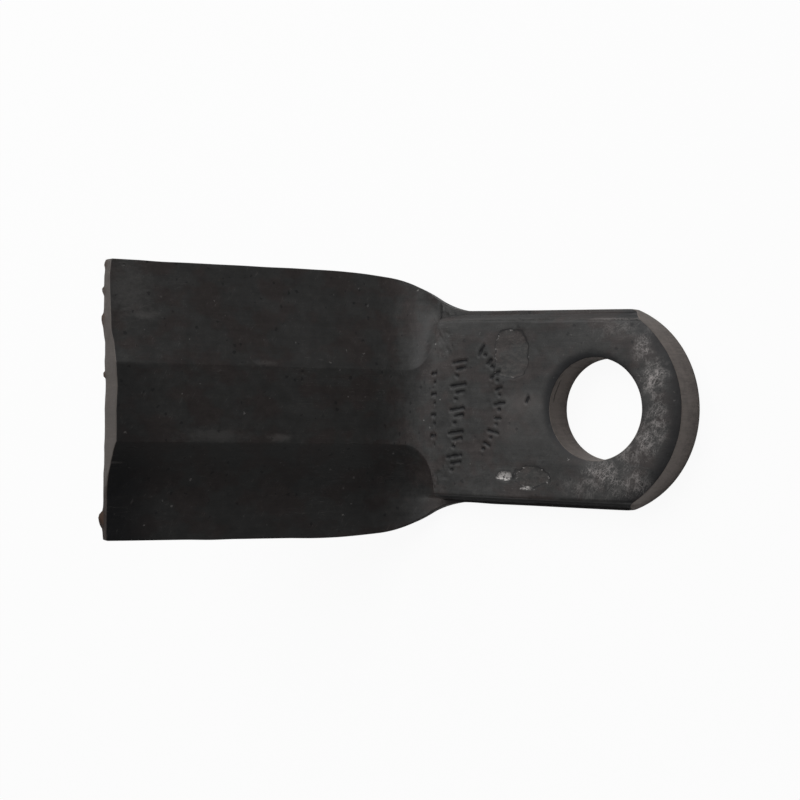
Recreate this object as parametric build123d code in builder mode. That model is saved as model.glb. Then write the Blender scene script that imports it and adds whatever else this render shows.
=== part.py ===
"""A mulcher blade: one forging, a flat shank with a bore and a bent paddle head.

The frame stands on the bore. Its origin is on the bore's axis, in the back face of the
shank. Z runs along that axis towards the hollow side of the bend, X points to the
rounded end of the shank, and the head climbs away on the -X side.
"""
import os
from math import cos, pi, radians, sin, sqrt, tan
from build123d import *

# Driving dimensions, in millimetres and degrees

thickness = 9.5            # shank and the raised middle of the head
bore_radius = 12.75
eye_reach = 24.0           # bore axis to the far point of the rounded end
eye_end_radius = 26.8
shank_half_width = 25.0
head_half_width = 35.0
eye_to_bend = 55.2         # bore axis to the crossing of the two front faces
head_length = 79.6         # that crossing to the cut tip
bend_angle = 60.0
bend_radius = 17.0         # on the front, hollow side

neck_radius = 23.0         # hollow arc of each side, out of the shank
shoulder_radius = 35.0     # round arc after it
flank_radius = 180.0       # long arc that carries the shoulder into the head
flank_angle = 6.5          # turned by the long arc
neck_start = 5.8           # ahead of the bend, along the back of the shank
side_offset = 0.6          # the two shoulders are not quite opposite

shank_face_half_width = 22.7
shank_draft_foot = 24.0
shank_land = 4.0           # height of the trimmed land along the shank's sides
runout_start = 15.0        # where each hollow begins to close, along the back
runout_end = 1.6           # where it has run out into the shank's side

# The two hollows of the head are not alike

upper = dict(side=1, ridge=9.5, corner=17.5, foot=27.0, rim=4.3)
lower = dict(side=-1, ridge=10.5, corner=17.0, foot=24.0, rim=3.4)

bore_edge_round = 0.8
eye_edge_round = 1.0

# Values that follow from them

bend_back_radius = bend_radius + thickness
bend_setback = bend_radius * tan(radians(bend_angle / 2))
bend_x = -eye_to_bend + bend_setback
bend_z = thickness + bend_radius
bend_length = bend_back_radius * radians(bend_angle)
blade_length = bend_length + head_length - bend_setback
flank_drop = flank_radius * (1 - cos(radians(flank_angle)))
flank_run = flank_radius * sin(radians(flank_angle))
crest_half_width = head_half_width - flank_drop + shoulder_radius * (1 - cos(radians(flank_angle)))
steepest_cos = 1 - (crest_half_width - shank_half_width) / (neck_radius + shoulder_radius)
steepest_sin = sqrt(1 - steepest_cos**2)
neck_run = neck_radius * steepest_sin
shoulder_run = shoulder_radius * (steepest_sin - sin(radians(flank_angle)))
side_run = neck_run + shoulder_run + flank_run
clear = 1.0                # how far a cutting form passes the faces it trims
outside = head_half_width + 15
station_step = 2.0         # spacing of the sections through the shoulder
flank_steps = 5            # sections along the long arc
closing_steps = 8          # and through the runout
least_step = 0.25


def station_plane(run):
    """The plane across the blade at a distance along its back, from the bend's start."""
    turn = min(max(run, 0.0), bend_length) / bend_back_radius
    normal = Vector(sin(turn), 0, cos(turn))
    along = Vector(-cos(turn), 0, sin(turn))
    straight = run if run < 0 else max(run - bend_length, 0.0)
    back = Vector(bend_x, 0, bend_z) - normal * bend_back_radius + along * straight
    return Plane(origin=back, x_dir=(0, 1, 0), z_dir=Vector(0, 1, 0).cross(normal))


def half_width(run):
    """Half the blade's width: three tangent arcs carry the shank into the head."""
    if run <= 0:
        return shank_half_width
    if run < neck_run:
        return shank_half_width + neck_radius - sqrt(neck_radius**2 - run**2)
    if run < neck_run + shoulder_run:
        to_crest = shoulder_radius * steepest_sin - (run - neck_run)
        return crest_half_width - shoulder_radius + sqrt(shoulder_radius**2 - to_crest**2)
    to_head = max(side_run - run, 0.0)
    return head_half_width - flank_radius + sqrt(flank_radius**2 - to_head**2)


def closing(run):
    """How far a hollow has closed, 0 in the head and 1 in the shank, as a quarter round."""
    share = (runout_start - run) / (runout_start - runout_end)
    share = min(max(share, 0.0), 1.0)
    return 1 - sqrt(1 - share**2)


def between(head_value, shank_value, share):
    return head_value + (shank_value - head_value) * share


def side_form(hollow):
    """The space beside and over one long edge: draft, land, shoulder and hollow."""
    shift = -hollow["side"] * side_offset
    start = -neck_start + shift
    steps = round((neck_run + shoulder_run) / station_step)
    runs = [start + (neck_run + shoulder_run) * step / steps for step in range(steps + 1)]
    runs += [start + side_run - flank_run * (1 - step / flank_steps) for step in range(1, flank_steps + 1)]
    for step in range(closing_steps + 1):
        share = sin(pi / 2 * step / closing_steps)
        runs.append(shift + between(runout_start, runout_end, share))
    runs.sort()
    runs = [run for run, following in zip(runs, runs[1:]) if following - run > least_step] + runs[-1:]
    far_eye = -(eye_reach - bend_x + clear)
    far_tip = blade_length + clear

    with BuildPart() as form:
        for run in [far_eye] + runs + [far_tip]:
            closed = closing(run - shift)
            ridge = between(hollow["ridge"], shank_face_half_width, closed)
            foot = between(hollow["foot"], shank_draft_foot, closed)
            rim = between(hollow["rim"], shank_land, closed)
            corner = between(hollow["corner"], (shank_face_half_width + shank_draft_foot) / 2, closed)
            corner_height = between(rim, (thickness + rim) / 2, closed)
            rise = clear / (thickness - corner_height)
            top = (ridge - (corner - ridge) * rise, thickness + clear)
            edge = half_width(run - start)
            with BuildSketch(station_plane(run)):
                with BuildLine():
                    Bezier(top, (corner, corner_height), (foot, rim))
                    Polyline((foot, rim), (edge, rim), (edge, -clear), (outside, -clear),
                             (outside, thickness + clear), top)
                make_face()
        loft(ruled=True)
        if hollow["side"] < 0:
            mirror(about=Plane.XZ, mode=Mode.REPLACE)
    return form.part


with BuildPart() as mulcher_blade:
    # The bent bar, from the rounded end to the tip
    with BuildSketch(Plane.XZ):
        with BuildLine():
            eye_back = (eye_reach, 0)
            eye_front = (eye_reach, thickness)
            back = Line(eye_back, (bend_x, 0))
            back_bend = JernArc(back @ 1, back % 1, bend_back_radius, -bend_angle)
            back_head = PolarLine(back_bend @ 1, head_length - bend_setback, direction=back_bend % 1)
            front = Line(eye_front, (bend_x, thickness))
            front_bend = JernArc(front @ 1, front % 1, bend_radius, -bend_angle)
            front_head = PolarLine(front_bend @ 1, head_length - bend_setback, direction=front_bend % 1)
            Line(back_head @ 1, front_head @ 1)
            Line(eye_back, eye_front)
        make_face()
    extrude(amount=head_half_width + clear, both=True)

    # Its two long sides
    for hollow in (upper, lower):
        add(side_form(hollow), mode=Mode.SUBTRACT)

    # The rounded end
    with BuildSketch():
        with Locations((eye_reach, 0)):
            Rectangle(2 * eye_end_radius, 2 * outside)
        with Locations((eye_reach - eye_end_radius, 0)):
            Circle(eye_end_radius, mode=Mode.SUBTRACT)
    extrude(amount=thickness, mode=Mode.SUBTRACT)

    # The bore
    with Locations((0, 0, thickness)):
        Hole(bore_radius, depth=thickness)

    # Edges drawn down by the punch and the shear
    front_arcs = edges().filter_by(GeomType.CIRCLE).filter_by_position(Axis.Z, thickness, thickness)
    fillet(front_arcs.filter_by(lambda edge: edge.radius == bore_radius), bore_edge_round)
    fillet(front_arcs.filter_by(lambda edge: edge.radius == eye_end_radius), eye_edge_round)

mulcher_blade.part.label = "mulcher_blade"
os.makedirs("parts", exist_ok=True)
export_step(mulcher_blade.part, "parts/mulcher_blade.step")
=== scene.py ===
"""A mulcher blade, forged in one piece and bent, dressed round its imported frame."""
import logging
import math
from collections.abc import Iterable
from dataclasses import dataclass
from enum import Enum
from functools import reduce

import bmesh
import bpy
import numpy as np
from mathutils import Matrix, Vector


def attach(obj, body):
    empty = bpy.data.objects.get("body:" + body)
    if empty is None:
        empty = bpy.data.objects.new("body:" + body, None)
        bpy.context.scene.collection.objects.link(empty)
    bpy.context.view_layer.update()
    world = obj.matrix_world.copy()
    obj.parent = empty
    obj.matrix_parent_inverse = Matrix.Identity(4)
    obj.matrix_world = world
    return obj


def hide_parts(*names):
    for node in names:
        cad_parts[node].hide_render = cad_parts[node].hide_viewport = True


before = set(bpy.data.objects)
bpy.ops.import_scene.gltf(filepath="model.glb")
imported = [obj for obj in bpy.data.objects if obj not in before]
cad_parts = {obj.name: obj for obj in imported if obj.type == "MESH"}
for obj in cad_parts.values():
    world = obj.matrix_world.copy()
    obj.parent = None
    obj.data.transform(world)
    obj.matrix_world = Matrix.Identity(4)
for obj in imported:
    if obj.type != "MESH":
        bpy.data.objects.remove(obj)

Array = np.ndarray
Colour = tuple[float, float, float, float]
MM = 0.001
FAR = 1000.0
LOG = logging.getLogger("mulcher_blade")


class Edge(Enum):
    """The blade's two long edges, by the sign of Y."""

    UPPER = 1
    LOWER = -1


@dataclass(frozen=True)
class Section:
    """Half of the front's section: a curve from the ridge to its foot, then the land to the rim.

    The first three sizes are distances from the middle line, the others heights.
    """

    ridge: float
    corner: float
    foot: float
    corner_height: float
    foot_height: float
    rim: float

    def towards(self, other: "Section", share: Array) -> "Section":
        """The section that lies that share of the way to another one."""
        pairs = zip(vars(self).values(), vars(other).values())
        return Section(*(near + (far - near) * share for near, far in pairs))

    def curve(self, thickness: float, count: int) -> tuple[Array, Array]:
        """Places on the curve, from its foot to the ridge.

        Args:
            thickness: height of the ridge.
            count: how many steps the curve has.

        Returns:
            Distances from the middle line and heights.
        """
        share = np.linspace(1, 0, count + 1)
        first, second, third = (1 - share) ** 2, 2 * share * (1 - share), share**2
        out = first * self.ridge + second * self.corner + third * self.foot
        return out, first * thickness + second * self.corner_height + third * self.foot_height


@dataclass(frozen=True)
class BladeForm:
    """Sizes of the forging, in millimetres, and the map from its flat state to the bent one.

    A place on the flat blade is given by run, the distance along the back from the start
    of the bend towards the tip, across, which is Y, and height above the back.
    """

    thickness: float = 9.5
    bore_radius: float = 12.75
    eye_reach: float = 24.0
    eye_radius: float = 26.8
    shank_half: float = 25.0
    head_half: float = 35.0
    eye_to_bend: float = 55.2
    head_length: float = 79.6
    bend_angle: float = math.radians(60)
    bend_radius: float = 17.0
    neck_radius: float = 23.0
    shoulder_radius: float = 35.0
    flank_radius: float = 180.0
    flank_angle: float = math.radians(6.5)
    neck_start: float = 5.8
    side_offset: float = 0.6
    runout_start: float = 15.0
    runout_end: float = 1.6
    upper_side: Section = Section(21.9, 22.95, 24.2, 9.3, 4.0, 4.0)
    lower_side: Section = Section(22.6, 23.6, 24.4, 9.3, 4.0, 4.0)
    upper: Section = Section(9.5, 17.5, 27.0, 7.4, 5.4, 3.9)
    upper_tip: Section = Section(9.5, 13.2, 27.0, 6.6, 4.8, 3.7)
    lower: Section = Section(10.4, 16.6, 24.0, 3.3, 2.9, 3.2)

    @property
    def back_radius(self) -> float:
        """Radius of the bend on the back."""
        return self.bend_radius + self.thickness

    @property
    def bend_length(self) -> float:
        """Length of the bend along the back."""
        return self.back_radius * self.bend_angle

    @property
    def bend_setback(self) -> float:
        """Distance from the crossing of the two front faces to where the bend starts."""
        return self.bend_radius * math.tan(self.bend_angle / 2)

    @property
    def bend_x(self) -> float:
        """X of the bend's start."""
        return self.bend_setback - self.eye_to_bend

    @property
    def tip_run(self) -> float:
        """Run of the cut tip."""
        return self.bend_length + self.head_length - self.bend_setback

    @property
    def eye_centre(self) -> float:
        """X of the centre of the rounded end."""
        return self.eye_reach - self.eye_radius

    def place(self, run: Array, across: Array, height: Array) -> Array:
        """Bends flat places into space.

        Args:
            run: distances along the back.
            across: distances along Y.
            height: heights above the back.

        Returns:
            Points, with X, Y and Z in the last axis.
        """
        run, across, height = np.broadcast_arrays(run, across, height)
        turn = np.clip(run, 0.0, self.bend_length) / self.back_radius
        straight = np.maximum(run - self.bend_length, 0.0) + np.minimum(run, 0.0)
        lever = self.back_radius - height
        x = self.bend_x - np.sin(turn) * lever - np.cos(turn) * straight
        z = self.back_radius - np.cos(turn) * lever + np.sin(turn) * straight
        return np.stack([x, across, z], axis=-1)

    def half_width(self, run: Array, edge: Edge) -> Array:
        """Half the blade's width, by three tangent arcs from the shank into the head.

        Args:
            run: distances along the back.
            edge: which long edge.

        Returns:
            The distance of that edge from the middle line.
        """
        along = run + self.neck_start + edge.value * self.side_offset
        flank_drop = self.flank_radius * (1 - math.cos(self.flank_angle))
        flank_run = self.flank_radius * math.sin(self.flank_angle)
        crest = self.head_half - flank_drop + self.shoulder_radius * (1 - math.cos(self.flank_angle))
        steepest = math.acos(1 - (crest - self.shank_half) / (self.neck_radius + self.shoulder_radius))
        neck_run = self.neck_radius * math.sin(steepest)
        shoulder_run = self.shoulder_radius * (math.sin(steepest) - math.sin(self.flank_angle))
        neck = self.shank_half + self.neck_radius
        neck = neck - np.sqrt(self.neck_radius**2 - np.clip(along, 0.0, neck_run) ** 2)
        to_crest = neck_run + self.shoulder_radius * math.sin(steepest) - along
        to_crest = np.clip(to_crest, 0.0, self.shoulder_radius)
        shoulder = crest - self.shoulder_radius + np.sqrt(self.shoulder_radius**2 - to_crest**2)
        to_head = np.clip(neck_run + shoulder_run + flank_run - along, 0.0, flank_run)
        flank = self.head_half - self.flank_radius + np.sqrt(self.flank_radius**2 - to_head**2)
        return np.where(along < neck_run, neck, np.where(along < neck_run + shoulder_run, shoulder, flank))

    def section(self, run: Array, edge: Edge) -> Section:
        """The section at each station, which closes from the head's flank to the shank's side.

        Args:
            run: distances along the back.
            edge: which long edge.

        Returns:
            The section, with an array for each size.
        """
        share = self.runout_start - run - edge.value * self.side_offset
        share = np.clip(share / (self.runout_start - self.runout_end), 0.0, 1.0)
        if edge is Edge.LOWER:
            return self.lower.towards(self.lower_side, 1 - np.sqrt(1 - share**2))
        tip = np.clip((run - self.tip_run) / 9 + 1, 0.0, 1.0)
        head = self.upper.towards(self.upper_tip, tip * tip * (3 - 2 * tip))
        return head.towards(self.upper_side, 0.6 * share**2.4 + 0.4 * (1 - np.sqrt(1 - share**2)))


class Grain:
    """Smooth seeded noise over the flat blade, for dents and waves in the metal."""

    CELLS = 256

    def __init__(self, seed: int) -> None:
        """Fills the lattice that the noise is drawn from."""
        self.lattice = np.random.default_rng(seed).random((self.CELLS, self.CELLS))

    def at(self, run: Array, across: Array, size: float) -> Array:
        """Noise between -1 and 1.

        Args:
            run: first coordinate.
            across: second coordinate.
            size: distance between the lattice's points.

        Returns:
            The noise, in the shape of the coordinates.
        """
        u, v = np.broadcast_arrays(run / size, across / size)
        i, j = np.floor(u).astype(int), np.floor(v).astype(int)
        a, b = u - i, v - j
        a, b = a * a * (3 - 2 * a), b * b * (3 - 2 * b)
        rows, columns = (i % self.CELLS, (i + 1) % self.CELLS), (j % self.CELLS, (j + 1) % self.CELLS)
        low = self.lattice[rows[0], columns[0]] * (1 - b) + self.lattice[rows[0], columns[1]] * b
        high = self.lattice[rows[1], columns[0]] * (1 - b) + self.lattice[rows[1], columns[1]] * b
        return 2 * (low * (1 - a) + high * a) - 1


@dataclass(frozen=True)
class Dash:
    """A short groove pressed into the shank, placed from the bore's axis."""

    x: float
    y: float
    length: float
    lie: float
    half: float = 0.36

    def distance(self, x: Array, y: Array) -> Array:
        """How far places are from the groove's middle line.

        Args:
            x: the places' distances along X.
            y: their distances along Y.

        Returns:
            The distances.
        """
        turn = math.radians(self.lie)
        along = (x - self.x) * math.cos(turn) + (y - self.y) * math.sin(turn)
        aside = (y - self.y) * math.cos(turn) - (x - self.x) * math.sin(turn)
        return np.hypot(np.maximum(np.abs(along) - self.length / 2, 0.0), aside)


@dataclass(frozen=True)
class Scar:
    """A patch of the skin with an edge of its own, placed from the bore's axis."""

    x: float
    y: float
    half_x: float
    half_y: float
    squareness: float
    depth: float

    def inside(self, x: Array, y: Array, grain: Grain) -> Array:
        """How far places are outside the ragged edge, and below zero inside it.

        Args:
            x: the places' distances along X.
            y: their distances along Y.
            grain: the noise that frays the edge.

        Returns:
            The distances.
        """
        reach = np.abs(x - self.x) / self.half_x, np.abs(y - self.y) / self.half_y
        reach = (reach[0] ** self.squareness + reach[1] ** self.squareness) ** (1 / self.squareness)
        ragged = 0.55 * grain.at(x, y, 3) + 0.3 * grain.at(y, x, 1.3)
        return (reach - 1) * min(self.half_x, self.half_y) + ragged


@dataclass(frozen=True)
class Relief:
    """What forging, shearing and use left on the front: waves, grooves, scars and pits."""

    form: BladeForm = BladeForm()
    grain: Grain = Grain(7)
    wave: float = 0.07
    wave_size: float = 9.0
    small_wave_share: float = 0.35
    small_wave_size: float = 3.1
    ripple: float = 0.018
    groove_depth: float = 0.3
    lip: float = 0.05
    pit_count: int = 120
    pit_half: tuple[float, float] = (0.3, 0.7)
    pit_depth: tuple[float, float] = (0.03, 0.1)
    pit_seed: int = 11
    wrinkles: tuple[tuple[float, float], ...] = ((-44.5, 17.3), (-45.3, -18.6))
    crease_count: int = 14
    crease_spread: tuple[float, float] = (1.6, 2.2)
    crease_length: tuple[float, float] = (0.4, 2.4)
    crease_depth: float = 0.11
    crease_half: float = 0.35
    edge_blur: float = 0.7
    far: float = 3.0
    patch: Scar = Scar(-24.0, 13.4, 4.8, 6.2, 3.5, 0.12)
    oval: Scar = Scar(-17.9, -17.5, 5.0, 2.7, 2.2, 0.07)
    chip: Scar = Scar(-25.6, -17.3, 2.1, 1.2, 2.0, 0.22)
    smear: Scar = Scar(-19.6, -20.3, 1.9, 0.5, 2.0, 0.05)

    def dashes(self) -> list[Dash]:
        """Plain dashes and dots, in an arc, a row and a small row at the bend.

        Returns:
            The grooves.
        """
        made = [Dash(-48.4, 24.8, 5.7, 106, 0.1), Dash(-47.4, 20.2, 3.4, 97, 0.06)]
        made.append(Dash(-19.1, 2.0, 1.3, 70))
        for number, angle in enumerate(range(47, -48, -12)):
            for lag, length, lie in ((0, 1.5 if number % 2 else 2.9, angle + 14), (5, 0.25, 0)):
                turn = math.radians(angle - lag)
                made.append(Dash(-45.2 + 18 * math.cos(turn), 1.3 + 18 * math.sin(turn), length, lie))
        for number in range(5):
            x, y = -39.4 - 0.3 * number, 11.6 - 6.1 * number
            made += [Dash(x, y, 4.0, 9), Dash(x + 0.5, y - 1.7, 2.4, 12), Dash(x - 0.7, y - 3.6, 0.4, 0)]
        for number in range(4):
            made += [Dash(-48.0, 8.5 - 5.4 * number, 1.6, 5), Dash(-47.6, 6.2 - 5.4 * number, 0.3, 0)]
        return made

    def groove(self, x: Array, y: Array) -> Array:
        """How far places are from the nearest groove's rim, below zero inside it.

        Args:
            x: the places' distances along X.
            y: their distances along Y.

        Returns:
            The distances, none above the far one.
        """
        wobble = 0.16 * self.grain.at(x, y, 0.8)
        near = np.min([dash.distance(x, y) - dash.half for dash in self.dashes()], axis=0)
        return np.minimum(near + wobble, self.far)

    def pits(self, x: Array, y: Array, seed: int) -> Array:
        """Depth of the small pits that loose scale left.

        Args:
            x: the places' distances along X.
            y: their distances along Y.
            seed: which pits are drawn.

        Returns:
            The depth at each place.
        """
        dice = np.random.default_rng(seed)
        depth = np.zeros(np.shape(x))
        tip = self.form.bend_x - self.form.tip_run
        for _ in range(self.pit_count):
            place = dice.uniform(tip, self.form.eye_reach), dice.uniform(-1, 1) * self.form.head_half
            half, deep = dice.uniform(*self.pit_half), dice.uniform(*self.pit_depth)
            depth = depth + deep * np.exp(-((x - place[0]) ** 2 + (y - place[1]) ** 2) / half**2)
        for middle in self.wrinkles:
            for _ in range(self.crease_count):
                place = [at + dice.normal(0, spread) for at, spread in zip(middle, self.crease_spread)]
                crease = Dash(*place, dice.uniform(*self.crease_length), dice.uniform(0, 180))
                depth = depth + self.crease_depth * np.exp(-(crease.distance(x, y) / self.crease_half) ** 2)
        return depth

    def height(self, run: Array, across: Array) -> Array:
        """What the relief adds to the front's height.

        Args:
            run: distances along the back.
            across: distances along Y.

        Returns:
            The change at each place.
        """
        x, y = self.form.bend_x - run, across
        change = self.wave * self.grain.at(x, y, self.wave_size)
        change = change + self.wave * self.small_wave_share * self.grain.at(y, x, self.small_wave_size)
        change = change + self.ripple * self.grain.at(x * 0.06, y, 1.7)
        groove = self.groove(x, y)
        share = np.clip(0.5 - groove / self.edge_blur, 0.0, 1.0)
        change = change - self.groove_depth * share * share * (3 - 2 * share)
        change = change + self.lip * np.exp(-((groove - 0.5) / 0.45) ** 2)
        for scar in (self.patch, self.oval, self.chip, self.smear):
            share = np.clip(0.5 - scar.inside(x, y, self.grain) / self.edge_blur, 0.0, 1.0)
            change = change - scar.depth * share * share * (3 - 2 * share)
        return change - self.pits(x, y, self.pit_seed)

    def fields(self, run: Array, across: Array) -> dict[str, Array]:
        """Distances that the finish draws its edges from.

        Args:
            run: distances along the back.
            across: distances along Y.

        Returns:
            A value for each place, by the attribute's name.
        """
        x, y = self.form.bend_x - run, across
        made = {"groove": self.groove(x, y)}
        for key, pair in (("scar", (self.patch, self.oval)), ("bare", (self.chip, self.smear))):
            inside = [scar.inside(x, y, self.grain) for scar in pair]
            made[key] = np.minimum(np.minimum(*inside), self.far)
        return made


class FlatMesh:
    """Collects points given on the flat blade, and faces between them."""

    def __init__(self, form: BladeForm) -> None:
        """Starts an empty mesh.

        Args:
            form: the blade, whose bend the points follow.
        """
        self.form = form
        self.flat: list[Array] = []
        self.cut: list[Array] = []
        self.faces: list[Array] = []
        self.size = 0

    def points(self, run: Array, across: Array, height: Array, cut: Array | float = 0.0) -> Array:
        """Adds points.

        Args:
            run: distances along the back.
            across: distances along Y.
            height: heights above the back.
            cut: 1 on a sheared face, 0 on the forged skin.

        Returns:
            The points' numbers, in the shape of the coordinates.
        """
        run, across, height, cut = np.broadcast_arrays(run, across, height, cut)
        self.flat.append(np.stack([run.ravel(), across.ravel(), height.ravel()], axis=-1))
        self.cut.append(cut.ravel())
        numbers = np.arange(self.size, self.size + run.size).reshape(run.shape)
        self.size += run.size
        return numbers

    def sheet(self, grid: Array) -> None:
        """Adds a quad for each cell of a grid of point numbers."""
        quads = np.stack([grid[:-1, :-1], grid[1:, :-1], grid[1:, 1:], grid[:-1, 1:]], axis=-1)
        self.faces.append(quads.reshape(-1, 4))

    def ribbon(self, first: Array, second: Array) -> None:
        """Joins two closed rows of points, the second with as many or half as many.

        Args:
            first: the first row's points.
            second: the second row's.
        """
        if len(first) == len(second):
            self.sheet(np.stack([np.append(first, first[0]), np.append(second, second[0])]))
            return
        after, inner = np.roll(first, -1), np.roll(second, -1)
        self.faces.append(np.stack([first[0::2], after[0::2], second], axis=-1))
        self.faces.append(np.stack([after[0::2], inner, second], axis=-1))
        self.faces.append(np.stack([after[0::2], np.roll(first, -2)[0::2], inner], axis=-1))

    def build(self, name: str, flat: Array, fields: dict[str, Array]) -> bpy.types.Object:
        """Makes the Blender object.

        Args:
            name: the object's name.
            flat: run, distance along Y and height of every point.
            fields: further values of every point, by name.

        Returns:
            The object, with the flat place as the attribute lay, and the fields.
        """
        mesh = bpy.data.meshes.new(name)
        faces = [face for group in self.faces for face in group.tolist()]
        mesh.from_pydata((self.form.place(*flat.T) * MM).tolist(), [], faces)
        work = bmesh.new()
        work.from_mesh(mesh)
        bmesh.ops.recalc_face_normals(work, faces=work.faces)
        work.to_mesh(mesh)
        work.free()
        mesh.attributes.new("lay", "FLOAT_VECTOR", "POINT").data.foreach_set("vector", flat.ravel())
        for key, values in fields.items():
            mesh.attributes.new(key, "FLOAT", "POINT").data.foreach_set("value", values)
        mesh.polygons.foreach_set("use_smooth", [True] * len(mesh.polygons))
        piece = bpy.data.objects.new(name, mesh)
        bpy.context.scene.collection.objects.link(piece)
        return piece


@dataclass(frozen=True)
class Burr:
    """A lip of metal that shearing pushed out of the tip's back edge."""

    y: float
    half: float
    reach: float


@dataclass(frozen=True)
class BladeBody:
    """The whole forging as one closed mesh, a grid that follows its ridges and its outline.

    The shank's eye is a ring of rays round the bore. The rest is a grid of stations along
    the blade, whose columns follow the foot and the ridge of each hollow.
    """

    form: BladeForm = BladeForm()
    relief: Relief = Relief()
    join: float = 19.0
    fine_end: float = 8.0
    fine_stations: int = 114
    stations: int = 144
    land_columns: int = 12
    hollow_columns: int = 24
    middle_columns: int = 108
    eye_rays: int = 212
    wall_rows: int = 13
    face_rings: int = 23
    ring_crowding: float = 1.2
    draft_shares: tuple[float, ...] = (0.35, 0.7, 1.0)
    face_inset: float = 0.9
    face_gap: float = 0.8
    foot_inset: float = 0.5
    foot_gap: float = 0.2
    back_rings: tuple[int, ...] = (0, 4, 8, 12, 16, 20, 25, 27)
    back_wave: float = 0.05
    back_pit_limit: float = 0.1
    back_pit_seed: int = 23
    front_turns: tuple[float, ...] = (25, 45, 65, 90)
    back_turns: tuple[float, ...] = (30, 60)
    edge_round: float = 0.3
    bore_round: float = 0.32
    rim_draw: float = 0.85
    rim_reach: float = 2.7
    bore_draw: float = 0.4
    bore_reach: float = 1.5
    rim_lean: float = 0.85
    rim_lean_reach: float = 2.5
    outline_wave: float = 0.09
    tip_gap: float = 0.15
    tip_reach: float = 2.5
    tip_grain: float = 2.3
    tip_line: tuple[tuple[float, float], ...] = (
        (-35.0, -0.1), (-33.0, 0.1), (4.0, 0.1), (10.0, 0.4),
        (14.5, 0.4), (17.5, 0.85), (31.0, 0.9), (35.0, 0.4),
    )
    burrs: tuple[Burr, ...] = (
        Burr(27.3, 0.8, 0.5), Burr(20.0, 1.6, 0.55), Burr(6.3, 0.7, 0.45),
        Burr(-29.8, 1.9, 0.9), Burr(34.4, 1.6, 0.4),
    )
    burr_out: float = 0.85
    burr_down: float = 0.5

    def flank(self, run: Array, edge: Edge) -> tuple[Array, Array]:
        """One side of the front at each station, from the outline to the ridge.

        Args:
            run: the stations' runs, as a column.
            edge: which long edge.

        Returns:
            Distances from the middle line and heights, with one row for each station.
        """
        form = self.form
        section = form.section(run, edge)
        fade = np.clip((run - run[0]) / 6, 0.0, 1.0)
        outline = form.half_width(run, edge) - self.edge_round
        wave = self.relief.grain.at(run, 0 * run + FAR * edge.value, 7)
        outline = outline + self.outline_wave * fade * wave
        share = np.concatenate([[0.0], np.linspace(0.07, 1, self.land_columns)])[:-1]
        land = outline + (section.foot - outline) * share
        land_height = section.rim + (section.foot_height - section.rim) * share
        curve, rise = section.curve(form.thickness, self.hollow_columns)
        return np.hstack([land, curve]), np.hstack([land_height, rise])

    def front_grid(self) -> tuple[Array, Array, Array]:
        """The front from the join with the eye to the tip.

        Returns:
            Runs, distances along Y and heights of the grid's points.
        """
        fine = np.linspace(self.form.bend_x + self.join, self.fine_end, self.fine_stations + 1)
        last = self.form.tip_run - self.edge_round
        coarse = np.linspace(self.fine_end, last - self.tip_gap, self.stations)
        run = np.concatenate([fine[:-1], coarse, [last]])[:, None]
        low, low_height = self.flank(run, Edge.LOWER)
        high, high_height = self.flank(run, Edge.UPPER)
        share = np.linspace(0, 1, self.middle_columns + 1)[1:-1]
        middle = -low[:, -1:] + (high[:, -1:] + low[:, -1:]) * share
        across = np.hstack([-low, middle, high[:, ::-1]])
        height = np.hstack([low_height, self.form.thickness + 0 * middle, high_height[:, ::-1]])
        for column in (low.shape[1] - 1, low.shape[1] - 1 + self.middle_columns):
            blunt = height[:, column - 3:column + 2] + height[:, column - 1:column + 4]
            height[:, column - 2:column + 3] = (blunt + 2 * height[:, column - 2:column + 3]) / 4
        near_tip = np.clip((run - self.form.tip_run) / self.tip_reach + 1, 0.0, 1.0)
        ragged = self.relief.grain.at(across, 0 * across, self.tip_grain) * near_tip
        slant = np.interp(across, *np.transpose(self.tip_line)) * np.clip(run / self.form.tip_run, 0.0, 1.0)
        return run + self.outline_wave * ragged + slant, across, height

    def rays(self, join_columns: Array) -> Array:
        """Directions from the bore's axis: through the join's columns, then round the eye.

        Args:
            join_columns: Y of the grid's columns at the join.

        Returns:
            Angles from the X axis.
        """
        form, count = self.form, self.eye_rays
        half = form.shank_half - self.edge_round
        radius = form.eye_radius - self.edge_round
        kink = form.eye_centre + math.sqrt(radius**2 - half**2)
        side = kink + self.join
        opening = math.atan2(half, kink - form.eye_centre)
        path = np.linspace(0, 2 * side + 2 * opening * radius, count + 1)[1:-1]
        angle = opening - (path - side) / radius
        on_end = np.abs(angle) < opening
        straight = np.where(path < side, path, path[::-1]) - self.join
        x = np.where(on_end, form.eye_centre + radius * np.cos(angle), straight)
        y = np.where(on_end, radius * np.sin(angle), np.where(path < side, half, -half))
        return np.arctan2(np.append(join_columns, y), np.append(0 * join_columns - self.join, x))

    def reach(self, angle: Array, inset: float, half: Array | float) -> Array:
        """How far each ray runs before it meets a line inside the eye's outline.

        Args:
            angle: the rays' directions.
            inset: how far inside the rounded end the line lies.
            half: distance of the straight sides from the middle line.

        Returns:
            Lengths of the rays, which also end at the join with the grid.
        """
        form = self.form
        cosine, sine = np.cos(angle), np.sin(angle)
        side = half / np.maximum(np.abs(sine), 1e-9)
        middle = form.eye_centre * cosine
        end = middle + np.sqrt(middle**2 - form.eye_centre**2 + (form.eye_radius - inset) ** 2)
        end = np.where(side * cosine > form.eye_centre, end, FAR)
        join = np.where(cosine < 0, self.join / np.maximum(-cosine, 1e-9), FAR)
        return np.minimum(np.minimum(side, end), join)

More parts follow.
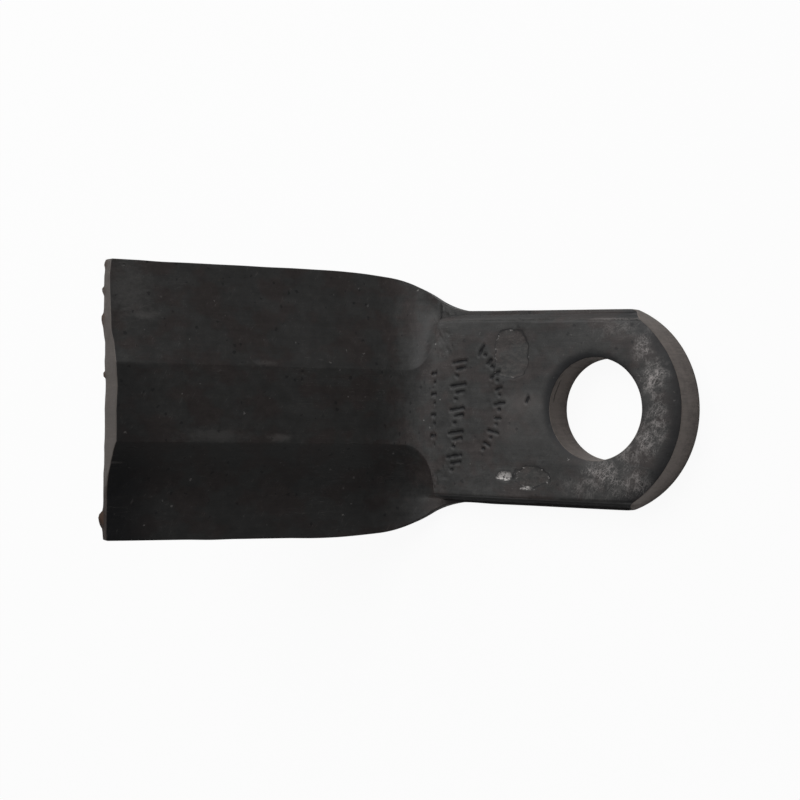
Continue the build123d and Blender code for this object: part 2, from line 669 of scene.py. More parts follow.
    def draw(self, x: Array, y: Array) -> Array:
        """How far shearing has drawn the front down beside the eye's rim and the bore.

        Args:
            x: the places' distances along X.
            y: their distances along Y.

        Returns:
            The drop at each place.
        """
        form = self.form
        to_rim = form.eye_radius - np.hypot(x - form.eye_centre, y)
        to_bore = np.hypot(x, y) - form.bore_radius
        near_end = np.clip((x + 4) / 10, 0.0, 1.0)
        drop = self.rim_draw * np.exp(-np.maximum(to_rim, 0.0) / self.rim_reach) * near_end
        return drop + self.bore_draw * np.exp(-np.maximum(to_bore, 0.0) / self.bore_reach)

    def front(self, mesh: FlatMesh) -> tuple[Array, Array]:
        """Adds the front.

        Args:
            mesh: where its points and faces go.

        Returns:
            The numbers of the grid's points and of the rings round the bore.
        """
        form = self.form
        run, across, height = self.front_grid()
        height = height - self.draw(form.bend_x - run, across) + self.relief.height(run, across)
        grid = mesh.points(run, across, height)
        angle = self.rays(across[0])
        start = form.bore_radius + self.bore_round
        outline = self.reach(angle, self.edge_round, form.shank_half - self.edge_round)
        high, low = form.upper_side, form.lower_side
        face = self.reach(angle, self.face_inset, np.where(angle > 0, high.ridge, low.ridge))
        face = np.minimum(face, outline - self.face_gap)
        foot = self.reach(angle, self.foot_inset, np.where(angle > 0, high.foot, low.foot))
        foot = np.minimum(foot, outline - self.foot_gap)
        share = np.linspace(0, 1, self.face_rings)[:, None] ** self.ring_crowding
        draft = face + (foot - face) * np.array(self.draft_shares)[:, None]
        radii = np.vstack([start + (face - start) * share, draft, (foot + outline) / 2, outline])
        x, y = radii * np.cos(angle), radii * np.sin(angle)
        out, rise = high.curve(form.thickness, 16)
        low_out, low_rise = low.curve(form.thickness, 16)
        flat = np.interp(y, np.append(-low_out, out[::-1]), np.append(low_rise, rise[::-1]))
        height = flat - self.draw(x, y) + self.relief.height(form.bend_x - x, y)
        return grid, self.sheets(mesh, grid, form.bend_x - x, y, height)

    def sheets(self, mesh: FlatMesh, grid: Array, run: Array, across: Array, height: Array) -> Array:
        """Adds the faces of a grid, and those of the rings round the bore, whose last ring runs on from it.

        Args:
            mesh: where points and faces go.
            grid: the grid's points.
            run: runs of the rings' points, one row for each ring.
            across: their distances along Y.
            height: their heights.

        Returns:
            The numbers of the rings' points.
        """
        columns = grid.shape[1]
        inner = mesh.points(run[:-1], across[:-1], height[:-1])
        outer = mesh.points(run[-1, columns:], across[-1, columns:], height[-1, columns:])
        rings = np.vstack([inner, np.append(grid[0], outer)])
        mesh.sheet(grid)
        mesh.sheet(np.hstack([rings, rings[:, :1]]))
        return rings

    def outline_of(self, grid: Array, rings: Array) -> Array:
        """The closed row of point numbers along the blade's outline."""
        eye = rings[-1, grid.shape[1]:]
        return np.concatenate([grid[:-1, 0], grid[-1, :-1], grid[::-1, -1], eye])

    def back(self, mesh: FlatMesh, grid: Array, rings: Array) -> tuple[Array, Array]:
        """Adds the flat back, at half the front's density.

        Args:
            mesh: where its points and faces go.
            grid: the front grid's points.
            rings: the front rings' points.

        Returns:
            The numbers of the back's grid and rings.
        """
        flat = np.concatenate(mesh.flat)
        low_grid = grid[::2, ::2]
        run, across = flat[low_grid, 0], flat[low_grid, 1]
        back_grid = mesh.points(run, across, self.back_height(run, across))
        low_rings = rings[list(self.back_rings)][:, ::2]
        run, across = flat[low_rings, 0], flat[low_rings, 1]
        shift = 1 - (self.bore_round - self.edge_round) / (self.form.bore_radius + self.bore_round)
        run[0], across[0] = self.form.bend_x + (run[0] - self.form.bend_x) * shift, across[0] * shift
        return back_grid, self.sheets(mesh, back_grid, run, across, self.back_height(run, across))

    def back_height(self, run: Array, across: Array) -> Array:
        """Waves and pits of the back, which stay above the floor.

        Args:
            run: distances along the back.
            across: distances along Y.

        Returns:
            The back's height at each place.
        """
        x, y, grain = self.form.bend_x - run, across, self.relief.grain
        pits = np.minimum(self.relief.pits(x + 40, -y, self.back_pit_seed), self.back_pit_limit)
        return self.back_wave + self.back_wave * grain.at(x, y, 8) + pits

    def sheared(self, run: Array, across: Array) -> Array:
        """1 where the outline was sheared, at the tip and round the eye, and 0 along the forged sides.

        Args:
            run: distances along the back.
            across: distances along Y.

        Returns:
            The share at each place.
        """
        x = self.form.bend_x - run
        kink = self.form.eye_centre + math.sqrt(self.form.eye_radius**2 - self.form.shank_half**2)
        end = np.clip((x - kink) / 0.8 + 0.2, 0.0, 1.0)
        tip = np.clip((run - self.form.tip_run) / 0.3 + 2, 0.0, 1.0)
        bore = np.hypot(x, across) < self.form.bore_radius + 2
        return np.maximum(np.maximum(end, tip), bore)

    def wall(self, mesh: FlatMesh, top: Array, bottom: Array, inward: bool) -> None:
        """Adds the wall between the front's and the back's outline, or the bore's wall.

        Args:
            mesh: where its points and faces go.
            top: the front's closed row of points.
            bottom: the back's, with half as many.
            inward: whether the wall faces the bore's axis.
        """
        flat = np.concatenate(mesh.flat)
        run, across, height = flat[top].T
        along_run, along_across = (np.roll(value, -1) - np.roll(value, 1) for value in (run, across))
        length = np.hypot(along_run, along_across)
        area = np.sum(run * np.roll(across, -1) - np.roll(run, -1) * across)
        side = -np.sign(area) if inward else np.sign(area)
        out_run, out_across = side * along_across / length, -side * along_run / length
        cut = self.sheared(run, across)
        full, low = (self.bore_round if inward else self.edge_round), self.edge_round
        rows = []
        for turn in np.radians(self.front_turns):
            rows.append((full * math.sin(turn), height - full * (1 - math.cos(turn))))
        for share in np.linspace(1, 0, self.wall_rows + 1)[1:]:
            rows.append((full, low + (height - full - low) * share))
        for turn in np.radians(self.back_turns):
            rows.append((full - low * (1 - math.cos(turn)), low * (1 - math.sin(turn)) + 0 * height))
        last = top
        for number, (out, level) in enumerate(rows):
            row = mesh.points(run + out_run * out, across + out_across * out, level, cut=cut * (number > 0))
            mesh.ribbon(last, row)
            last = row
        mesh.ribbon(last, bottom)

    def push_burrs(self, flat: Array) -> Array:
        """Draws the tip's back edge out into burrs.

        Args:
            flat: run, distance along Y and height of every point.

        Returns:
            How far each point is pushed, and flat is changed in place.
        """
        near = np.clip((flat[:, 0] - self.form.tip_run) / 0.5 + 1.6, 0.0, 1.0)
        near = near * np.clip(1.3 - flat[:, 2] / 1.4, 0.0, 1.0)
        grain = self.relief.grain.at(flat[:, 1], flat[:, 2], 0.7)
        push = np.zeros(len(flat))
        for burr in self.burrs:
            bump = np.exp(-(((flat[:, 1] - burr.y) / burr.half) ** 4))
            push = push + burr.reach * bump * (1 + 0.5 * grain) * near
        flat[:, 0] += push * self.burr_out
        flat[:, 2] -= push * self.burr_down
        return push

    def lean(self, flat: Array) -> None:
        """Leans the sheared rim round the eye inwards at the front, by changing flat in place.

        Args:
            flat: run, distance along Y and height of every point.
        """
        form = self.form
        x, y = form.bend_x - flat[:, 0] - form.eye_centre, flat[:, 1]
        away = np.maximum(np.hypot(x, y), 1e-6)
        near = np.exp(-np.maximum(form.eye_radius - away, 0.0) / self.rim_lean_reach)
        near = near * np.clip(x / 12 - 0.7, 0.0, 1.0)
        push = self.rim_lean * near * (0.12 - flat[:, 2] / form.thickness)
        flat[:, 0] -= push * x / away
        flat[:, 1] += push * y / away

    def build(self) -> bpy.types.Object:
        """Makes the blade's mesh object.

        Returns:
            The object, in metres.
        """
        mesh = FlatMesh(self.form)
        grid, rings = self.front(mesh)
        front = mesh.size
        back_grid, back_rings = self.back(mesh, grid, rings)
        self.wall(mesh, self.outline_of(grid, rings), self.outline_of(back_grid, back_rings), inward=False)
        self.wall(mesh, rings[0], back_rings[0], inward=True)
        flat = np.concatenate(mesh.flat)
        fields = self.relief.fields(flat[:front, 0], flat[:front, 1])
        far = np.full(mesh.size - front, self.relief.far)
        fields = {key: np.append(values, far) for key, values in fields.items()}
        fields["cut"], fields["burr"] = np.concatenate(mesh.cut), self.push_burrs(flat)
        self.lean(flat)
        return mesh.build("forged_blade", flat, fields)


class Wire:
    """A value in a node tree, on which plain operators add Math nodes."""

    def __init__(self, bench: "Bench", socket: bpy.types.NodeSocket) -> None:
        """Holds the bench and the output socket."""
        self.bench = bench
        self.socket = socket

    def __add__(self, other: "Value") -> "Wire":
        """Sum."""
        return self.bench.math("ADD", self, other)

    def __sub__(self, other: "Value") -> "Wire":
        """Difference."""
        return self.bench.math("SUBTRACT", self, other)

    def __rsub__(self, other: "Value") -> "Wire":
        """Difference from a number."""
        return self.bench.math("SUBTRACT", other, self)

    def __mul__(self, other: "Value") -> "Wire":
        """Product."""
        return self.bench.math("MULTIPLY", self, other)

    def __truediv__(self, other: "Value") -> "Wire":
        """Quotient."""
        return self.bench.math("DIVIDE", self, other)

    def __rtruediv__(self, other: "Value") -> "Wire":
        """Quotient of a number."""
        return self.bench.math("DIVIDE", other, self)

    def __abs__(self) -> "Wire":
        """Value without its sign."""
        return self.bench.math("ABSOLUTE", self)

    __radd__ = __add__
    __rmul__ = __mul__


Value = float | tuple[float, ...] | Wire


class Bench:
    """A material's node tree, and the few ways in which nodes are added to it."""

    def __init__(self, name: str) -> None:
        """Makes the material with an empty tree.

        Args:
            name: the material's name.
        """
        self.material = bpy.data.materials.new(name)
        self.material.use_nodes = True
        self.tree = self.material.node_tree
        self.tree.nodes.clear()

    def node(self, kind: str, settings: dict[str, object], sockets: dict[str | int, Value],
             out: str | int = 0) -> Wire:
        """Adds a node.

        Args:
            kind: the node's type, without the words that all of them begin with.
            settings: the node's own properties.
            sockets: values or wires for its inputs.
            out: the output that is handed back.

        Returns:
            The wire from that output.
        """
        made = self.tree.nodes.new("ShaderNode" + kind)
        for key, value in settings.items():
            setattr(made, key, value)
        for key, value in sockets.items():
            if isinstance(value, Wire):
                self.tree.links.new(value.socket, made.inputs[key])
            else:
                made.inputs[key].default_value = value
        return Wire(self, made.outputs[out])

    def ending(self, surface: Wire) -> bpy.types.Material:
        """Ends the tree in a shader.

        Args:
            surface: the shader's output.

        Returns:
            The material.
        """
        end = self.tree.nodes.new("ShaderNodeOutputMaterial")
        self.tree.links.new(surface.socket, end.inputs["Surface"])
        return self.material

    def math(self, operation: str, *values: Value) -> Wire:
        """A Math node."""
        return self.node("Math", {"operation": operation}, dict(enumerate(values)))

    def vector(self, operation: str, *values: Value, out: str = "Vector") -> Wire:
        """A Vector Math node."""
        return self.node("VectorMath", {"operation": operation}, dict(enumerate(values)), out)

    def blend(self, factor: Value, first: Value, second: Value, kind: str = "MIX") -> Wire:
        """A colour between two, or of the first changed by the second."""
        settings = {"data_type": "RGBA", "blend_type": kind}
        return self.node("Mix", settings, {0: factor, 6: first, 7: second}, 2)

    def step(self, value: Value, low: float, high: float, top: float = 1.0) -> Wire:
        """A smooth step from 0 at low to top at high."""
        sockets = {"Value": value, "From Min": low, "From Max": high, "To Max": top}
        return self.node("MapRange", {"interpolation_type": "SMOOTHSTEP"}, sockets)

    def noise(self, place: Wire, scale: float, detail: float = 3.0, roughness: float = 0.55) -> Wire:
        """Noise about zero."""
        sockets = {"Vector": place, "Scale": scale, "Detail": detail, "Roughness": roughness}
        return self.node("TexNoise", {}, sockets) - 0.5

    def attribute(self, name: str, out: str = "Fac") -> Wire:
        """What the mesh carries on its points by that name."""
        return self.node("Attribute", {"attribute_name": name}, {}, out)

    def most(self, wires: Iterable[Wire]) -> Wire:
        """The highest of some values."""
        return reduce(lambda one, other: self.math("MAXIMUM", one, other), wires)

    def stretched(self, place: Wire, *by: float) -> Wire:
        """The place with each axis multiplied."""
        return self.vector("MULTIPLY", place, tuple(by))

    def sown(self, place: Wire, scale: float, share: float, size: float) -> Wire:
        """Small round specks in some of the cells of a random net.

        Args:
            place: where the net lies.
            scale: cells to a millimetre.
            share: share of the cells that hold a speck.
            size: a speck's radius, in cells.

        Returns:
            1 in a speck, 0 elsewhere.
        """
        sockets = {"Vector": place, "Scale": scale}
        distance = self.node("TexVoronoi", {}, sockets, "Distance")
        colour = Wire(self, distance.socket.node.outputs["Color"])
        lot = self.node("SeparateColor", {}, {0: colour})
        other = Wire(self, lot.socket.node.outputs[1])
        chosen = self.step(lot, 1 - share, 1 - share * 0.9)
        return self.step(distance - other * size, size * 0.5, 0.0) * chosen


@dataclass(frozen=True)
class Spot:
    """A soft ellipse on the front, placed from the bore's axis.

    It is full inside the inner share of its half lengths, and gone outside the outer one.
    """

    x: float
    y: float
    half_x: float
    half_y: float
    strength: float = 1.0
    outer: float = 1.5
    inner: float = 0.1


class ForgedSteel(Bench):
    """Black forge scale with rolling lines, sheared faces, scuffs, grime, painted shade and a trace of rust.

    Each layer covers the ones before it. Lengths are in millimetres, noises are about zero.
    """

    SCALE_DARK: Colour = (0.019, 0.019, 0.0185, 1)
    SCALE_PALE: Colour = (0.066, 0.065, 0.064, 1)
    WARM_TINT: Colour = (1.0, 0.8615, 0.8438, 1)
    SCUFFED: Colour = (0.17, 0.16, 0.155, 1)
    RUBBED: Colour = (0.36, 0.335, 0.325, 1)
    BARE: Colour = (0.42, 0.40, 0.39, 1)
    SHEARED_PALE: Colour = (0.25, 0.218, 0.20, 1)
    SHEARED_DARK: Colour = (0.115, 0.101, 0.093, 1)
    # Dark brown for the lower end of the tip's face and for the fold in the bore wall.
    DARK_BROWN: Colour = (0.035, 0.025, 0.022, 1)
    # Dark grime for grooves, cracks and specks, and also the colour of the painted shade and of the
    # darkening near the tip.
    DIRT_AND_SHADE: Colour = (0.008, 0.008, 0.009, 1)
    RUST: Colour = (0.075, 0.042, 0.028, 1)
    # The colour of the painted shade where the front rolls over, round the bore and along the rounded end.
    ROLLOVER_SHADE: Colour = (0.012, 0.0125, 0.0138, 1)
    SPECULAR = 0.25
    BUMP = 0.06 * MM
    # Painted shade at the end of the upper hollow.
    RUNOUT_SHADE = Spot(-53.6, 15.2, 4.6, 9.0, 0.36, 1.3, 0.4)
    CLOUD = Spot(-20.0, 1.0, 8.0, 3.4, 0.16, 1.3, 0.2)
    PLAIN = Spot(-20.5, -3.0, 9.5, 8.0, 0.09, 1.3, 0.5)
    NECK = Spot(-46.8, 16.5, 3.6, 7.0, 0.1, 1.3, 0.3)
    POLISHED = Spot(7.0, 22.5, 9.0, 2.0, 0.6, 1.2, 0.5)
    # Painted light on the bore wall's upper side towards the tip, which faces away from the lamp.
    BORE_WALL_LIGHT = Spot(-11.5, 4.0, 6.0, 11.0, 0.28, 1.2, 0.6)
    FOLD = Spot(-12.2, 5.0, 2.2, 3.6, 0.7, 1.1, 0.8)
    WORN = (
        Spot(15.5, 7.6, 3.8, 5.0), Spot(12.8, 15.0, 2.6, 3.8, 0.7), Spot(17.0, -2.8, 2.9, 5.0, 0.9),
        Spot(14.2, -7.5, 3.0, 4.4, 0.95), Spot(10.1, -11.2, 3.6, 3.0, 0.8), Spot(2.4, -16.0, 5.2, 3.4),
        Spot(9.6, -17.6, 5.6, 3.6, 0.75), Spot(1.0, -19.6, 11.0, 2.8, 0.35), Spot(8.0, 20.0, 9.0, 2.6, 0.25),
    )
    SMEARS = (
        Spot(-140.0, 28.0, 8.0, 7.0, 0.22), Spot(-135.5, 21.4, 4.5, 1.1, 0.28),
        Spot(-99.5, -8.7, 3.0, 1.0, 0.35), Spot(-104.0, 10.2, 3.2, 0.7, 0.25),
        Spot(-117.0, -8.3, 9.0, 1.7, 0.2), Spot(-142.0, -15.4, 2.5, 0.3, 0.3),
    )
    STROKE_LIES = (52.0, 24.0, 68.0, -35.0, 86.0)

    def __init__(self, form: BladeForm) -> None:
        """Reads what the mesh carries, and makes the noises that the layers share.

        Args:
            form: the blade's sizes, from which places are found.
        """
        super().__init__("forged_steel")
        self.form = form
        self.place = self.attribute("lay", "Vector")
        axes = (self.node("SeparateXYZ", {}, {0: self.place}, axis) for axis in "XYZ")
        self.run, self.across, self.height = axes
        self.cut = self.attribute("cut")
        self.broad = self.noise(self.place, 0.07, 4.0, 0.6)
        self.middle = self.noise(self.place, 0.4, 5.0, 0.62)
        self.fine = self.noise(self.place, 2.6, 3.0, 0.6)
        self.rolled = self.noise(self.stretched(self.place, 0.07, 1.0, 1.0), 1.1, 4.0, 0.7)
        self.cloudy = self.noise(self.stretched(self.place, 0.8, 1.3, 1.0), 0.75, 5.0, 0.75)
        self.calm = 0.85 - self.step(self.run, 8.0, 22.0, 0.4)

    def cover(self, factor: Value, paint: Value) -> None:
        """Lays a colour over what is there."""
        self.colour = self.blend(factor, self.colour, paint)

    def away(self, x: float, y: float, half_x: float = 1.0, half_y: float = 1.0) -> Wire:
        """How far places are from a point on the front, in half lengths."""
        offset = self.vector("SUBTRACT", self.place, (self.form.bend_x - x, y, self.form.thickness))
        return self.vector("LENGTH", self.stretched(offset, 1 / half_x, 1 / half_y, 0.1), out="Value")

    def spot(self, spot: Spot, rough: Value = 0.0) -> Wire:
        """A soft ellipse, whose edge the second value breaks."""
        reach = self.away(spot.x, spot.y, spot.half_x, spot.half_y) + rough
        return self.step(reach, spot.outer, spot.inner, spot.strength)

    def scratches(self, lie: float, width: float, scale: float = 0.9, shift: float = 0.0) -> Wire:
        """Thin scratches of one direction.

        Args:
            lie: direction in degrees.
            width: how wide they are, as a share of the noise.
            scale: how close together they lie.
            shift: how far the noise is moved.

        Returns:
            1 on a scratch, 0 elsewhere.
        """
        sockets = {"Vector": self.vector("ADD", self.place, (shift, 0.0, 0.0)), "Angle": math.radians(lie)}
        turned = self.node("VectorRotate", {"rotation_type": "Z_AXIS"}, sockets)
        grain = self.noise(self.stretched(turned, 0.13, 1.5, 1.0), scale, 1.0)
        return self.step(abs(grain), width, width * 0.3)

    def scale(self) -> None:
        """Lays the black scale, in two tones and with warmer areas."""
        tone = self.broad * 0.8 + self.middle * 0.85 + self.fine * 0.5 + self.rolled * 0.5
        tone = 0.46 + tone * self.calm
        self.colour = self.blend(self.step(tone, 0.0, 1.0), self.SCALE_DARK, self.SCALE_PALE)
        hue = self.step(self.noise(self.stretched(self.place, 1.0, 1.4, 1.0), 0.11, 3.0), -0.05, 0.1)
        self.cover(hue, self.blend(1.0, self.colour, self.WARM_TINT, "MULTIPLY"))

    def tip_dark_and_painted_shade(self) -> None:
        """Darkens the head near the tip, most at its lower corner, and paints shade on the lower flank, at
        the end of the upper hollow and on the shank's sides.
        """
        tip, across, height = self.form.tip_run, self.across, self.height
        # Painted shade on the lower flank below its ridge, where the ridge's shadow falls.
        low = self.step(across, -10.0, -11.0) * self.step(self.run, 4.0, 14.0, 0.2)
        # Darker over the head's middle and lower faces near the tip, most at the lower corner.
        shade = self.step(self.run, tip - 15, tip - 2) * self.step(across, 9.2, 8.6, 0.35)
        shade = shade + self.step(self.run, tip - 24, tip - 1) * self.step(across, 0.0, -20.0, 0.4)
        # The end of the upper hollow gets painted shade, which dims the light that its concave end catches.
        self.cover(shade + low + self.spot(self.RUNOUT_SHADE, self.middle * 0.5), self.DIRT_AND_SHADE)
        # Painted shade on the shank's forged sides, three times as strong on the lower side, which faces
        # away from the lamp; the same mask makes them rougher.
        lower = self.step(across, -23.0, -23.4, 0.75) * self.step(height, 9.4, 9.0)
        upper = self.step(across, 22.6, 23.2, 0.25) * self.step(height, 9.3, 8.0)
        self.draft = lower * self.step(height, 3.4, 5.0) + upper * self.step(height, 4.5, 6.5)
        self.draft = self.draft * self.step(self.run, 3.0, -2.0)
        self.cover(self.draft, self.DIRT_AND_SHADE)

    def pale_areas(self) -> None:
        """Lays the paler areas of the shank, and fine lines from handling."""
        plain = self.spot(self.PLAIN, self.middle * 0.8) + self.spot(self.NECK, self.middle * 0.8)
        self.cover(self.spot(self.CLOUD, self.cloudy * 1.6) + plain, self.SCUFFED)
        along = self.scratches(1.5, 0.010) * self.step(self.broad, 0.0, 0.15)
        stray = self.scratches(62.0, 0.008) * self.step(self.middle, 0.0, 0.12)
        self.marks = self.most((along, stray))
        self.cover(self.marks * 0.25, self.SCUFFED)

    def rollover_shade(self) -> None:
        """Paints shade round the bore and along the rounded end, where the front rolls over towards the
        sheared edges.
        """
        to_bore = self.away(-1.1, 0.8) + self.middle * 0.9
        to_rim = self.away(self.form.eye_centre - 0.5, 0.0) + self.middle * 1.5
        self.rim_shade = self.step(to_rim, 22.2, 25.6, 0.75) * self.step(self.run, -48.0, -52.0)
        self.cover(self.most((self.step(to_bore, 14.7, 12.4, 0.95), self.rim_shade)), self.ROLLOVER_SHADE)

    def rubs(self) -> None:
        """Lays the scuffs round the eye, the head's smears and the shank's rubbed crests."""
        worn = self.most(self.spot(spot, self.middle * 1.1) for spot in self.WORN)
        strokes = self.most(self.scratches(lie, 0.035, 0.55, lie) for lie in self.STROKE_LIES)
        cluster = self.noise(self.vector("ADD", self.place, (7.0, 3.0, 0.0)), 0.42, 2.0)
        strokes = worn * strokes * self.step(cluster, -0.14, 0.12) * self.step(self.fine, -0.25, 0.1)
        haze = worn * self.step(self.cloudy + self.fine * 0.6, -0.22, 0.36)
        self.scuff = self.most((strokes, haze))
        faint = self.step(self.cloudy, 0.05, 0.25) * self.step(self.broad, -0.08, 0.1, 0.12)
        self.cover(faint * self.calm, self.SCUFFED)
        self.cover(haze * 0.8, self.SCUFFED)
        self.cover(strokes * 0.75, self.RUBBED)
        self.cover(self.most(self.spot(spot, self.cloudy * 2.4) for spot in self.SMEARS), self.SCUFFED)
        crest = self.step(abs(abs(self.across + 0.3) - 22.6), 0.4, 0.1) * self.step(self.run, 6.0, -2.0)
        crest = crest * self.step(self.rolled + self.fine, -0.2, 0.1)
        self.cover(crest * (self.step(self.across, 0.0, 1.0, 0.12) + self.spot(self.POLISHED)), self.SCUFFED)

    def specks(self) -> None:
        """Sows bright and dark specks with frayed edges."""
        fray = self.node("TexNoise", {}, {"Vector": self.place, "Scale": 1.7}, "Color")
        fray = self.stretched(self.vector("SUBTRACT", fray, (0.5, 0.5, 0.5)), 1.1, 1.1, 1.1)
        frayed = self.vector("ADD", self.place, fray)
        bright = self.sown(frayed, 0.42, 0.20, 0.12) * self.step(self.middle, -0.15, 0.15, 0.7)
        # Bright specks are kept out of the painted shade along the rounded end.
        self.cover(bright * self.calm * (1 - self.rim_shade), self.BARE)
        dark = self.sown(self.vector("ADD", frayed, (31.0, 17.0, 5.0)), 0.5, 0.35, 0.2)
        self.cover(dark * 0.55, self.DIRT_AND_SHADE)

    def scars(self) -> None:
        """Draws the edges of the flaked patches, fills the grooves and bares the chips."""
        scar, fine, cloudy = self.attribute("scar"), self.fine, self.cloudy
        rim = self.step(abs(scar + fine * 0.25), 0.22, 0.05) * self.step(self.middle, -0.2, 0.0, 0.7)
        glints = self.step(abs(scar + 0.15), 0.3, 0.05) * self.step(cloudy, 0.05, 0.15, 0.8)
        glints = glints * self.most((self.step(self.run, -23.0, -20.0), self.step(self.across, 0.0, -1.0)))
        self.cover(self.step(scar, 0.1, -0.3) * self.step(cloudy, -0.08, 0.12, 0.1), self.SHEARED_PALE)
        self.cover(rim, self.DIRT_AND_SHADE)
        self.cover(glints, self.BARE)
        self.cover(self.step(self.attribute("groove") + fine * 0.3, 0.17, -0.1, 0.95), self.DIRT_AND_SHADE)
        self.shine = self.step(self.attribute("bare") + cloudy * 1.5, 0.15, -0.2)
        self.shine = self.shine * self.step(fine, -0.15, 0.05)
        self.cover(self.shine * 0.85, self.BARE)

    def shear(self) -> None:
        """Lays the sheared faces, with their streaks, the torn lower half, a dark brown lower end at the tip
        and a fold.
        """
        run, across, height, middle, fine = self.run, self.across, self.height, self.middle, self.fine
        self.streaks = self.noise(self.stretched(self.place, 1.0, 1.0, 0.09), 1.6, 3.0, 0.65)
        tear = height + self.noise(self.stretched(self.place, 1.0, 1.0, 0.2), 0.35, 2.0) * 5.0
        self.torn = self.step(tear, 5.4, 4.2)
        at_tip = self.step(run, self.form.tip_run - 4, self.form.tip_run - 2)
        tone = 0.62 + self.streaks * 0.8 + middle * 1.1 + (fine * 0.8 - 0.12) * self.torn - at_tip * 0.35
        tone = tone + self.step(across, 8.0, -14.0, 0.22) * self.step(run, -50.0, -58.0)
        # The bore wall's upper side towards the tip is brightened as painted light.
        tone = tone + self.spot(self.BORE_WALL_LIGHT) - at_tip * height * 0.03
        face = self.blend(self.step(tone, 0.0, 1.0), self.SHEARED_DARK, self.SHEARED_PALE)
        # The tip's face turns dark brown towards its lower end, from the front edge downwards.
        tip_face_dark = height / self.form.thickness - (across + 23.5) / 12.0 + middle * 0.5
        tip_face_dark = self.step(tip_face_dark, -0.1, 0.2) * at_tip
        face = self.blend(tip_face_dark * self.step(across, -9.0, -14.0, 0.85), face, self.DARK_BROWN)
        fold = self.step(abs(height - 7.4 + middle * 1.4), 0.4, 0.12) * self.spot(self.FOLD) * self.cut
        self.cover(self.cut, self.blend(fold, face, self.DARK_BROWN))
        rusty = self.step(self.attribute("burr") + fine * 0.3, 0.05, 0.3)
        self.cover(rusty * self.step(middle, -0.14, 0.06, 0.7), self.RUST)

    def build(self) -> bpy.types.Material:
        """Lays every layer and joins them in one shader.

        Returns:
            The material.
        """
        skin = (self.scale, self.tip_dark_and_painted_shade, self.pale_areas, self.rollover_shade, self.rubs)
        for layer in (*skin, self.specks, self.scars, self.shear):
            layer()
        cut, scuff, fine, middle = self.cut, self.scuff, self.fine, self.middle
        roughness = 0.5 + fine * 0.25 + middle * 0.25 + cut * 0.1 - scuff * 0.1 + self.draft * 0.5
        metallic = self.most((self.most((scuff * 0.4, self.shine * 0.9)) * (1 - cut), cut * 0.35))
        bumps = fine * 0.3 + self.rolled * 0.2 + middle * 0.4 - self.marks * 0.05 - scuff * 0.08
        bumps = bumps + cut * (self.streaks * 0.6 + self.torn * fine * 0.7)
        normal = self.node("Bump", {}, {"Strength": 1.0, "Distance": self.BUMP, "Height": bumps})
        shader = self.node("BsdfPrincipled", {}, {
            "Base Color": self.colour, "Roughness": roughness, "Metallic": metallic, "Normal": normal,
            "Specular IOR Level": self.SPECULAR})
        return self.ending(shader)


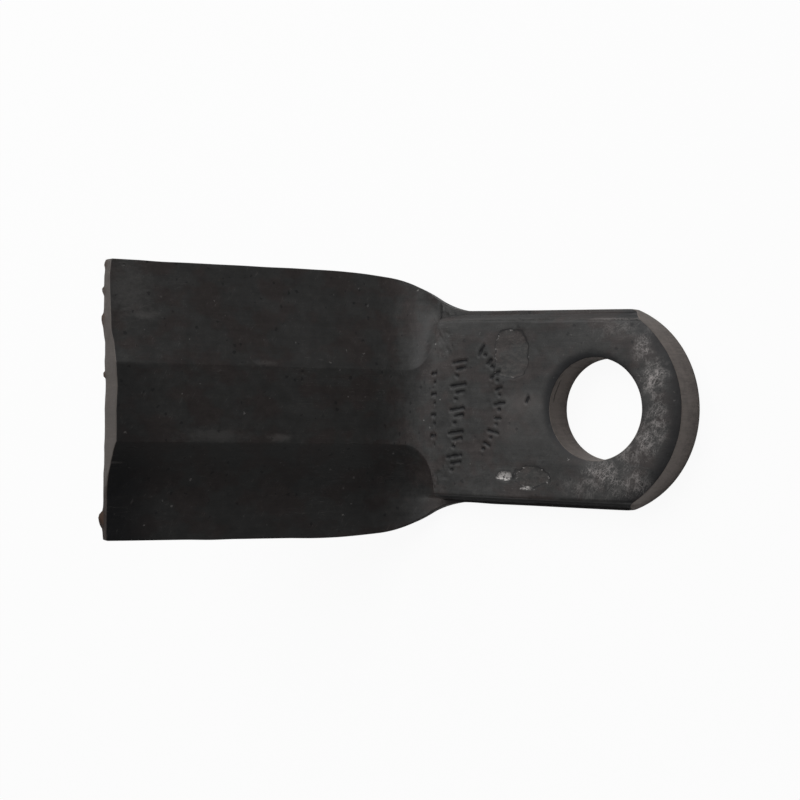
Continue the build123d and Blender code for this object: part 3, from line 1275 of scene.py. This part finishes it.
@dataclass(frozen=True)
class Studio:
    """The pale floor, the soft lamp and the camera, whose place is in millimetres."""

    camera_place: tuple[float, float, float] = (217.7, -0.76, 421.3)
    camera_turn: float = math.radians(33.78)
    camera_tilt: float = math.radians(0.26)
    camera_roll: float = math.radians(1.073)
    focal_pixels: float = 1875.3
    picture_pixels: float = 800.0
    sensor: float = 36.0
    floor_half: float = 3.0
    floor_gap: float = 0.1 * MM
    floor_colour: Colour = (0.8, 0.8, 0.8, 1)
    seen_share: float = 0.94
    mirrored_share: float = 0.1
    world_level: float = 0.07
    lamp_right: float = -0.65
    lamp_up: float = 0.50
    lamp_front: float = 0.57
    lamp_size: float = 0.9
    aim: tuple[float, float, float] = (-0.04, 0.0, 0.02)

    def camera(self) -> None:
        """Sets the camera at the photograph's angle."""
        data = bpy.data.cameras.new("camera")
        data.sensor_width = self.sensor
        data.lens = self.sensor * self.focal_pixels / self.picture_pixels
        data.clip_start, data.clip_end = 0.01, 20.0
        camera = bpy.data.objects.new("camera", data)
        turn = Matrix.Rotation(self.camera_turn, 4, "Y")
        tilt = Matrix.Rotation(self.camera_tilt, 4, "X")
        roll = Matrix.Rotation(self.camera_roll, 4, "Z")
        camera.matrix_world = Matrix.Translation(Vector(self.camera_place) * MM) @ turn @ tilt @ roll
        bpy.context.scene.collection.objects.link(camera)
        bpy.context.scene.camera = camera

    def floor(self) -> None:
        """Lays the white floor just under the shank's back."""
        half, level = self.floor_half, -self.floor_gap
        mesh = bpy.data.meshes.new("floor")
        corners = [(-half, -half, level), (half, -half, level), (half, half, level), (-half, half, level)]
        mesh.from_pydata(corners, [], [(0, 1, 2, 3)])
        floor = bpy.data.objects.new("floor", mesh)
        bpy.context.scene.collection.objects.link(floor)
        bench = Bench("floor")
        paper = bench.node("BsdfDiffuse", {}, {"Color": self.floor_colour})
        white = bench.node("Emission", {}, {"Color": (1, 1, 1, 1), "Strength": 1.0})
        rays = ("Is Camera Ray", "Is Transmission Ray", "Is Glossy Ray")
        seen, through, mirrored = (bench.node("LightPath", {}, {}, ray) for ray in rays)
        share = bench.most((bench.most((seen, through)) * self.seen_share, mirrored * self.mirrored_share))
        mesh.materials.append(bench.ending(bench.node("MixShader", {}, {0: share, 1: paper, 2: white})))

    def lamp(self) -> None:
        """Hangs the lamp, placed as the camera sees it, and points it at the blade."""
        right = Vector((math.cos(self.camera_turn), 0, -math.sin(self.camera_turn)))
        front = Vector((math.sin(self.camera_turn), 0, math.cos(self.camera_turn)))
        offset = right * self.lamp_right + Vector((0, 1, 0)) * self.lamp_up + front * self.lamp_front
        data = bpy.data.lights.new("key", "AREA")
        data.size = self.lamp_size
        data.energy = math.pi**2 * offset.length_squared
        lamp = bpy.data.objects.new("key", data)
        lamp.location = Vector(self.aim) + offset
        lamp.rotation_euler = offset.to_track_quat("Z", "Y").to_euler()
        bpy.context.scene.collection.objects.link(lamp)

    def build(self) -> None:
        """Makes the whole studio."""
        self.camera()
        self.floor()
        self.lamp()
        world = bpy.data.worlds.new("world")
        world.use_nodes = True
        world.node_tree.nodes["Background"].inputs["Color"].default_value = (*[self.world_level] * 3, 1)
        bpy.context.scene.world = world
        bpy.context.scene.view_settings.view_transform = "Standard"


def main() -> None:
    """Builds the blade and its studio, and reports each piece."""
    logging.basicConfig(level=logging.INFO, format="%(name)s: %(message)s")
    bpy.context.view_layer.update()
    blade = BladeBody().build()
    blade.data.materials.append(ForgedSteel(BladeForm()).build())
    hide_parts("mulcher_blade")
    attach(blade, "root")
    LOG.info("%s: %d faces", blade.name, len(blade.data.polygons))
    Studio().build()


if __name__ == "__main__":
    main()
